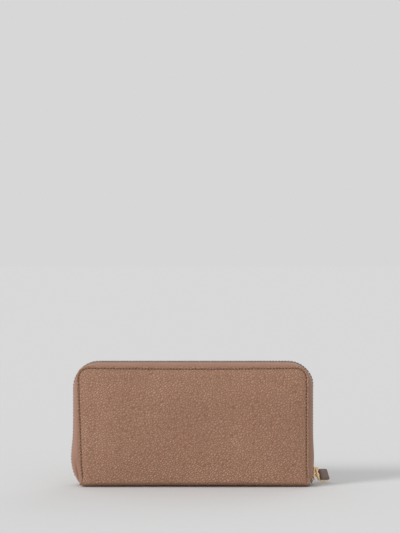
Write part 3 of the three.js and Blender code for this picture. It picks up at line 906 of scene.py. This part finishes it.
def tooth(place, side, row_in, row_out, half, height):
    """One tooth: a clamp over the tape's edge, a waist, and a head that reaches the other row."""
    stations = [
        (row_out + 0.35, half * 0.7, 0.62), (row_out, half, 0.92), (row_out - 0.5, half, 1.0),
        (row_in + 0.55, half, 1.0), (row_in + 0.1, half * 0.72, 0.9), (row_in - 0.35, half * 0.8, 0.86),
        (row_in - 0.85, half * 0.95, 0.78), (row_in - 1.1, half * 0.6, 0.5),
    ]
    cut = 0.34
    rings = []
    for y, w, tall in stations:
        h = height / 2 * tall
        corners = [(w * (1 - cut), h), (w, h * (1 - cut))]
        quarter = corners + [(s, -o) for s, o in reversed(corners)]
        ring = quarter + [(-s, o) for s, o in reversed(quarter)]
        rings.append([place(s, side * y, o) for s, o in ring])
    return lofted(rings)


def teeth_row(name, node, side, places, size, look, slot, body):
    """One row of teeth, each at its place(s, y, out); size is a tooth's half width and its height."""
    rows = span(node, 1)
    teeth = [tooth(place, side, *rows, *size) for place in places]
    row = new_object(name, *joined(teeth), [look])
    if body != "spine":
        stretch(row)
    sharp_shading(row, 40)
    stand_for(row, slot, node, body=body)


def teeth_shares(count, side):
    """How far along the zip each tooth stands, as a share; the two rows' teeth take turns."""
    return [(k + (0.25 if side < 0 else 0.75)) / count for k in range(count)]


def zip_teeth(name, side):
    step = 0.2
    path = edge_path(-TEETH_MIDDLE, ZIP_RADIUS, TEETH_LOW[2] + 0.7, step)
    places = []
    for share in teeth_shares(round(len(path) * step / TOOTH_PITCH), side):
        (x, z), (dx, dz) = path[int(share * (len(path) - 1))]
        shift = zip_shift(x, z)

        def place(s, y, out, x=x + dx * shift, z=z + dz * shift, dx=dx, dz=dz):
            return (x + dx * out + dz * s, y, z + dz * out - dx * s)

        places.append(place)
    teeth_row(f"{name}_teeth_row", f"{name}_zip_teeth", side, places, (0.58, TEETH_HEIGHT), TOOTH_LOOK,
              "zip_teeth", f"{name}_cover")


def coin_teeth(name, side):
    node = f"coin_teeth_{name}"
    low, high = box_mm(node)
    middle = (low[2] + high[2]) / 2
    length = high[0] - low[0]
    places = []
    for share in teeth_shares(round(length / COIN_TOOTH_PITCH), side):

        def place(s, y, out, x=low[0] + length * share):
            return (x + s, y, middle + out)

        places.append(place)
    teeth_row(f"coin_{name}_teeth_row", node, side, places, (0.42, high[2] - low[2]), GOLD_LOOK,
              "gold_metal", "spine")


def metal_stop(node, body, shift=0.0):
    """A crimped metal clip: a block with round edges and a pressed waist."""
    low, high = box_mm(node)
    low[0] += shift
    high[0] += shift
    size = high - low
    centre = (low + high) / 2
    axis = int(np.argmax(size))
    rings = []
    for k in range(9):
        t = -1 + k / 4
        squeeze = 1 - 0.14 * hump(t, 0.3) - 0.35 * max(0.0, abs(t) - 0.86) / 0.14
        ring = []
        for a in circle(12):
            point = [squared(math.cos(a)) * squeeze, squared(math.sin(a)) * squeeze]
            point.insert(axis, t)
            ring.append(tuple(centre + size / 2 * np.array(point)))
        rings.append(ring)
    stop = new_object(f"{node}_clip", *lofted(rings), [GOLD_LOOK])
    stand_for(stop, "gold_metal", node, body=body)


def end_tab(name, side):
    """The cloth tab that closes a lower end of the zip, folded up along both sides."""
    node = f"zip_end_tab_{name}"
    low, high = box_mm(node)
    near, far = span(node, 0)
    near -= 1.5
    far += min(0, zip_shift(side * HALF_WIDTH, high[2]))

    def points(t, u):
        x = side * (near + (far - near) * t)
        y = u * high[1] * (1 - 0.15 * t)
        z = low[2] + 0.5 * abs(u) ** 3 + 0.6 * t**2
        return (x, y, z + high[2] - low[2]), (x, y, z)

    tab = grid_shell(f"{node}_cloth", [i / 8 for i in range(9)], [-1 + j / 6 for j in range(13)], points,
                     TAPE_LOOK, 1)
    stand_for(tab, "zip_tape", node, body="spine")


# ---- Coin pocket and gussets


def coin_pocket():
    for name, side in SIDES.items():
        wall = f"coin_wall_{name}"
        ply(wall, LINING_LOOK, "lining", "spine", wall_relief, facing=1)
        ply(f"coin_tape_{name}", TAPE_LOOK, "zip_tape", "spine", plain_relief)
        coin_teeth(name, side)
        low, high = box_mm(wall)
        y = side * (span(wall, 1)[1] + 0.18)
        runs = [[(low[0] + 2, y, high[2] - drop), (high[0] - 2, y, high[2] - drop)] for drop in (2.1, 8.2)]
        stitches(f"coin_{name}", runs, (0, side, 0), "spine", "lining", **FINE_STITCH)
    for name, side in HANDS.items():
        coin_side(name, side)
        metal_stop(f"coin_stop_{name}", "spine")


def coin_side(name, side):
    """The coin pocket's narrow end wall, creased inwards down its middle."""
    node = f"coin_side_{name}"
    low, high = box_mm(node)
    edge = span(node, 0)[1]

    def points(z, u):
        x = edge - 1.8 * (1 - abs(u) ** 1.5) * smooth_step((z - low[2]) / 12)
        return (side * x, u * high[1], z), (side * (x - 0.4), u * high[1], z)

    wall = grid_shell(f"{node}_cloth", np.linspace(low[2], high[2], 16), [-1 + j / 4 for j in range(9)],
                      points, LINING_LOOK, 1)
    stand_for(wall, "lining", node, body="spine")


def gusset(face, front, hand, right):
    """A folded side gusset, deeper at its top, sewn to the coin pocket and to the cover."""
    node = f"gusset_{face}_{hand}"
    low, high = box_mm(node)
    near, far = span(node, 1)
    edge = span(node, 0)[1]
    height = high[2] - low[2]
    half_thick = 0.15

    def points(z, u):
        share = (z - low[2]) / height
        reach = GUSSET_FOLDS[0] + (GUSSET_FOLDS[1] - GUSSET_FOLDS[0]) * share
        tip = 1 - math.sqrt(u * u + 0.004)
        x = edge - reach * tip * (1 + 0.03 * math.sin(z / 6.0))
        y = front * ((near + far) / 2 + u * ((far - near) / 2 - half_thick) * (0.75 + 0.25 * abs(u)))
        return (right * (x + half_thick), y, z), (right * (x - half_thick), y, z)

    sheet = grid_shell(f"{node}_cloth", np.linspace(low[2], high[2], 26), [-1 + j / 10 for j in range(21)],
                       points, LINING_LOOK)
    stand_for(sheet, "lining", node)
    hinge = joint(f"{face}_cover_open")["pos_m"]
    start, end = ((0, front * y * MM, hinge[2]) for y in (near, far))
    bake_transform(sheet)
    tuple(start)
    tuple(end)


# ---- Sliders, bridges, ring and pulls


def tapered_outline(low, high, half_low, half_high, radius):
    """A plate's outline that narrows from its low end to its high end, with round corners."""
    corners = [Vector(c) for c in ((half_low, low), (half_high, high), (-half_high, high), (-half_low, low))]
    steps = 5
    points = []
    for k, here in enumerate(corners):
        before, after = corners[k - 1], corners[(k + 1) % 4]
        a = here + (before - here).normalized() * radius
        b = here + (after - here).normalized() * radius
        for i in range(steps + 1):
            t = i / steps
            p = a * (1 - t) ** 2 + here * 2 * t * (1 - t) + b * t**2
            points.append((p.x, p.y))
    return points


def gold_piece(name, pieces, node, body):
    """One gold piece from several, in its CAD node's place."""
    piece = join_objects(name, pieces)
    piece.data.materials.append(GOLD_LOOK)
    sharp_shading(piece)
    stand_for(piece, "gold_metal", node, body=body)


def slider_shell(name, node, body, place, along, out, halves, plate, post_half):
    """A slider: two plates joined by a post, with rails along their sides.

    Place maps (across, along, out) to a point; along, out and halves are the two ends of the
    slider's length, the two limits of its height, and the half widths of its outer and inner plate.
    """
    pieces = []
    length = along[1] - along[0]
    ends = (along[0] + 0.24 * length, along[1] - 0.16 * length)
    sink = 0.15
    for outer, half in zip((True, False), halves):
        low, high = (out[1] - plate, out[1]) if outer else (out[0], out[0] + plate)
        reach = (low - RAIL, low + sink) if outer else (high - sink, high + RAIL)
        outline = tapered_outline(along[0], along[1], half, half * 0.8, half * 0.45)
        pieces.append(bevelled_prism(outline, low, high, place, bevel=plate * 0.32, name="plate"))
        wide, narrow = half * 0.985, half * 0.83
        for s in (-1, 1):
            rail = [(s * wide, ends[0]), (s * narrow, ends[1]), (s * (narrow - RAIL_WIDTH), ends[1]),
                    (s * (wide - RAIL_WIDTH), ends[0])]
            pieces.append(bevelled_prism(rail, *reach, place, bevel=0.14, name="rail"))
    post = rounded_outline(-post_half, along[0] + 0.8, post_half, along[0] + 0.6 * length, post_half * 0.9)
    pieces.append(bevelled_prism(post, out[0] + plate - 0.1, out[1] - plate + 0.1, place, name="post"))
    gold_piece(name, pieces, node, body)


def bridge(name, node, body, place, along, out, width, bar):
    """A bar that rises from the slider, runs along it and drops back, for a ring or pull to hang in."""
    rise = out[1] - bar / 2 - out[0]
    start = along[0] + bar / 2
    ends = [(out[0] - 0.25, start)]
    for k in range(9):
        turn = math.pi / 2 * k / 8
        ends.append((out[0] + rise * math.sin(turn), start + 0.34 * rise * (1 - math.cos(turn))))
    mirror = along[0] + along[1]
    points = [Vector(p) for p in ends + [(o, mirror - a) for o, a in reversed(ends)]]
    last = len(points) - 1
    rings = []
    for k, point in enumerate(points):
        run = (points[min(k + 1, last)] - points[max(k - 1, 0)]).normalized()
        normal = Vector((run.y, -run.x))
        across = width / 2 * (1.25 if k in (0, last) else 1.0)
        ring = []
        for a in circle(12):
            v = squared(math.sin(a), 0.6) * bar / 2
            ring.append(place(squared(math.cos(a), 0.6) * across, point.y + normal.y * v,
                              point.x + normal.x * v))
        rings.append(ring)
    obj = new_object(name, *lofted(rings), [GOLD_LOOK])
    apply_modifier(obj, "SUBSURF", levels=1, render_levels=1)
    stand_for(obj, "gold_metal", node, body=body)


def zip_slider():
    def place(across, along, out):
        return (out, across, along)

    low, high = box_mm("slider_body")
    slider_shell("gold_slider", "slider_body", "zip_slider", place, (low[2], high[2]), (low[0], high[0]),
                 (high[1], high[1]), 1.0, 0.33)
    low, high = box_mm("slider_bridge")
    bridge("gold_bridge", "slider_bridge", "zip_slider", place, (low[2], high[2]), (low[0], high[0]),
           high[1] - low[1], 1.1)


def coin_slider():
    def place(across, along, out):
        return (along, across, out)

    low, high = box_mm("coin_slider_body")
    slider_shell("coin_gold_slider", "coin_slider_body", "coin_slider", place, (high[0], low[0]),
                 (low[2], high[2]), (high[1], high[1] * 0.57), 0.9, 0.25)
    low, high = box_mm("coin_slider_bridge")
    bridge("coin_gold_bridge", "coin_slider_bridge", "coin_slider", place, (low[0], high[0]),
           (low[2], high[2]), high[1] - low[1], 0.9)
    coin_pull()


def coin_pull():
    """A flat puller: a cross bar under the bridge, two side bars and a tongue with a round end."""
    low, high = box_mm("coin_pull")
    pivot = joint("coin_pull_swing")["pos_m"][0] / MM
    half = high[1]
    slot_low = pivot - 3.2
    slot_half = 0.9
    pin_radius = 0.48

    def place(u, v, w):
        return (u, v, w)

    tongue = rounded_outline(low[0], -half, slot_low, half, 1.6)
    pieces = [bevelled_prism(tongue, low[2], high[2], place, bevel=0.28, name="tongue")]
    for s in (-1, 1):
        near, far = sorted((s * slot_half, s * half))
        rail = rounded_outline(slot_low - 1.5, near, high[0], far, 0.3)
        pieces.append(bevelled_prism(rail, low[2] + 0.02, high[2] - 0.02, place, bevel=0.25, name="side"))
    middle = (low[2] + high[2]) / 2
    pin = [[(pivot + pin_radius * math.cos(a), y, middle + pin_radius * math.sin(a)) for a in circle(16)]
           for y in (-half * 0.9, half * 0.9)]
    pieces.append(new_object("pin", *lofted(pin)))
    panel = rounded_outline(low[0] + 1.0, -half + 0.9, slot_low - 1.3, half - 0.9, 0.9)
    pieces.append(bevelled_prism(panel, low[2] - 0.08, high[2] + 0.08, place, bevel=0.1, name="panel"))
    gold_piece("coin_gold_pull", pieces, "coin_pull", "coin_pull")


def pivot_mm(name):
    return Vector(joint(name)["pos_m"]) / MM


def ring_shape():
    """The ring's pivot, its centre, its radius to the middle of its wire, and the wire's own radius."""
    low, high = box_mm("pull_ring")
    pivot = pivot_mm("pull_ring_swing")
    centre = Vector((low + high) / 2)
    radius = (centre - pivot).length
    return pivot, centre, radius, (high[1] - low[1]) / 2 - radius + RING_EXTRA


def pull_ring():
    pivot, centre, radius, wire = ring_shape()
    down = (centre - pivot).normalized()
    across = Vector((0, 1, 0))
    axis = down.cross(across)
    rings = []
    for a in circle(64):
        out = down * math.cos(a) + across * math.sin(a)
        rings.append([tuple(centre + out * (radius + wire * math.cos(b)) + axis * wire * math.sin(b))
                      for b in circle(18)])
    ring = new_object("gold_ring", *lofted(rings, closed=True), [GOLD_LOOK])
    stand_for(ring, "gold_metal", "pull_ring", body="pull_ring")


def pull_axes():
    """The pull's pivot, and its own directions: to its free end, along the wire, out of its leather.

    Also the middle and the half sizes of its leather along them, from the pivot.
    """
    pivot = pivot_mm("pull_tab_swing")
    width = -Vector(joint("pull_tab_swing")["axis"]).normalized()
    corners = [v.co / MM for v in frame["nodes"]["pull_leather"].data.vertices]
    centre = (Vector(np.min(corners, axis=0)) + Vector(np.max(corners, axis=0))) / 2
    points = np.array([c - centre for c in corners])
    _, _, directions = np.linalg.svd(points, full_matrices=False)
    face = Vector(directions[2]).normalized()
    if face.x < 0:
        face.negate()
    along = width.cross(face).normalized()
    if (centre - pivot).dot(along) < 0:
        along.negate()
    axes = (along, width, face)
    spans = [points @ np.array(axis) for axis in axes]
    middle = [(centre - pivot).dot(axis) for axis in axes]
    return pivot, axes, middle, [(s.max() - s.min()) / 2 for s in spans]


def pull_tab():
    """A gold plate that shows past its leather pad's lower edge, and the eye that runs on the ring."""
    pivot, (along, width, face), middle, half = pull_axes()

    def place(u, v, w):
        return tuple(pivot + along * u + width * v + face * w)

    near, far = middle[0] - half[0], middle[0] + half[0]
    foot, top = middle[2] - half[2], middle[2] + half[2]
    rim = 0.25
    lower = -1 if width.z > 0 else 1
    edges = sorted((lower * (half[1] + 0.8), -lower * (half[1] + rim)))
    outline = rounded_outline(near - 0.4, edges[0], far + rim, edges[1], 1.6, steps=8)
    bore = ring_shape()[3] + EYE_CLEAR
    wall = 0.7
    eye = []
    for turn in circle(32):
        ring = []
        for a in circle(16):
            r = bore + wall / 2 + squared(math.sin(a)) * wall / 2
            ring.append(place(r * math.cos(turn), squared(math.cos(a)) * 1.1, r * math.sin(turn)))
        eye.append(ring)
    neck = rounded_outline(bore + 0.25, -1.6, near + 0.4, 1.6, 0.3)
    gold_piece("gold_pull_plate", [
        bevelled_prism(outline, foot - 1.2, foot - 0.2, place, bevel=0.3, name="plate"),
        new_object("eye", *lofted(eye, closed=True)),
        bevelled_prism(neck, -0.5, 0.5, place, bevel=0.15, name="neck"),
    ], "pull_plate", "pull_tab")

    edge = rounded_outline(near + 0.15, 0.05 - half[1], far - 0.05, half[1] - 0.05, 1.1, steps=8)
    # The pad's section: its outline's scale, and how far it lies below the top
    section = [(1.0, 0.75), (0.985, 0.5), (0.95, 0.34), (0.9, 0.27), (0.84, 0.3), (0.79, 0.26), (0.72, 0.1),
               (0.5, 0.02), (0.25, 0.0)]
    levels = [(1.0, foot - 0.15)] + [(scale, top - below) for scale, below in section]
    centre = (near + far) / 2
    rings = [[place(centre + (u - centre) * scale, v * scale, w) for u, v in edge] for scale, w in levels]
    pad = new_object("pull_leather_pad", *lofted(rings), [PULL_LOOK])
    stand_for(pad, "pull_leather", "pull_leather", body="pull_tab")
    row = rounded_outline(near + 1.0, 0.9 - half[1], far - 0.9, half[1] - 0.9, 0.8)
    run = [place(u, v, top - 0.3) for u, v in row + row[:1]]
    stitches("pull", [run], face, "pull_tab", "pull_leather", **PULL_STITCH)


# ---- Floor, light and camera


def stage():
    """A wide floor that is as bright as the sky behind it, so that no horizon shows."""
    mesh = bpy.data.meshes.new("floor")
    size = 60.0
    corners = [(-size, -size, 0), (size, -size, 0), (size, size, 0), (-size, size, 0)]
    mesh.from_pydata(corners, [], [(0, 1, 2, 3)])
    m = Nodes("pale_floor")
    m.shade(Base_Color=(FLOOR, FLOOR, FLOOR, 1), Roughness=1.0, Specular_IOR_Level=0.0)
    mesh.materials.append(m.material)
    in_scene("floor", mesh)
    world = bpy.data.worlds.new("studio")
    world.use_nodes = True
    background = world.node_tree.nodes["Background"]
    background.inputs["Color"].default_value = (1, 1, 1, 1)
    background.inputs["Strength"].default_value = SKY
    bpy.context.scene.world = world


def sun(name, toward, power, angle):
    """A soft, far light that shines from the direction `toward`."""
    data = bpy.data.lights.new(name, "SUN")
    data.energy = power
    data.angle = math.radians(angle)
    in_scene(name, data).rotation_euler = Vector(toward).to_track_quat("Z", "Y").to_euler()


def camera():
    """Stands straight in front of the wallet, a little above it, and looks level over its top."""
    data = bpy.data.cameras.new("camera")
    data.sensor_fit = "HORIZONTAL"
    data.sensor_width = 24.0
    data.lens = 85.0
    obj = in_scene("camera", data)
    elevation = math.radians(6.5)  # as seen from a point just above the wallet's middle
    tilt = math.radians(0.16)
    distance = 1.14
    aside = 0.0052
    height = (PANEL_TOP / 2 + 2) * MM + distance * math.tan(elevation)
    obj.location = (aside, -distance, height)
    obj.rotation_euler = (math.pi / 2 - tilt, 0, 0)
    bpy.context.scene.camera = obj


# ---- Build

stage()
camera()
sun("key", (-0.8, -0.48, 0.5), 1.6, 18)
sun("rim", (0.4, 0.75, 0.45), 0.25, 40)

for cover, way in SIDES.items():
    turning = f"{cover}_cover"
    cover_skin(cover, way)
    panel_stitches(cover, way)
    ply(f"{cover}_board", BOARD_LOOK, "board", turning, plain_relief, radius=BOARD_RADIUS, settle=True)
    lining_skin(cover, way)
    card_pockets(cover, way)
    edge_band(cover, way)
    zip_tape(cover, way)
    zip_teeth(cover, way)
    metal_stop(f"{cover}_top_stop", turning)
    for hand, right in HANDS.items():
        gusset(cover, way, hand, right)
coin_pocket()
for hand, right in HANDS.items():
    end_tab(hand, right)
stop_z = box_mm("zip_bottom_stop")[0][2]
metal_stop("zip_bottom_stop", "spine", shift=-zip_shift(-HALF_WIDTH, stop_z))
zip_slider()
pull_ring()
pull_tab()
coin_slider()
for node, look in (("spine_board", BOARD_LOOK), ("coin_bottom", LINING_LOOK)):
    materials = frame["nodes"][node].data.materials
    materials.clear()
    materials.append(look)

bpy.context.scene.view_settings.view_transform = "Standard"
